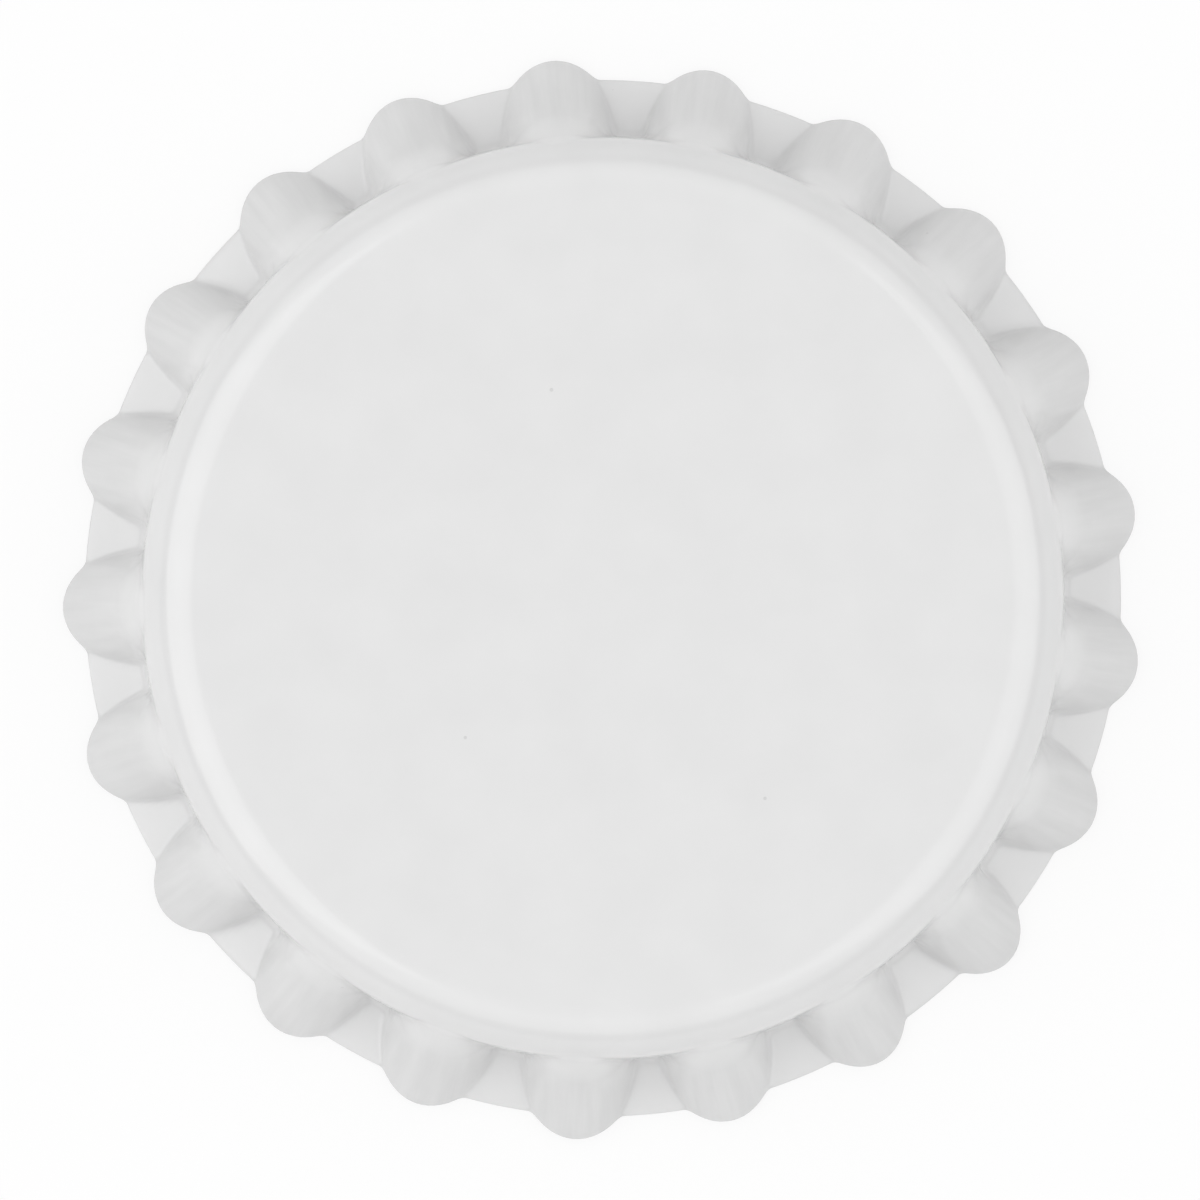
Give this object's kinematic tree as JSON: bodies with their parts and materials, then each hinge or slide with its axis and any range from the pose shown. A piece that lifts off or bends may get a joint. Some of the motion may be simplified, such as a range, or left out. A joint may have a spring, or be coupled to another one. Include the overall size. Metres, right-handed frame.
{
  "type": "bottle cap",
  "caption": "Bottle cap of the crown kind, before crimping: a white lacquered shell of pressed sheet steel with a fluted skirt, and a moulded sealing liner inside.",
  "frame": {"origin": "on the cap's axis, in the plane that the hem stands on", "axes": "+Z along the cap's axis, out of the top of the panel; +X through the back of one flute"},
  "size_m": [0.0319, 0.032, 0.006],
  "materials": {
    "lacquered_steel": "gloss",
    "liner_compound": "satin"
  },
  "bodies": {
    "root": {"shell": "lacquered_steel", "liner": "liner_compound"}
  },
  "joints": []
}
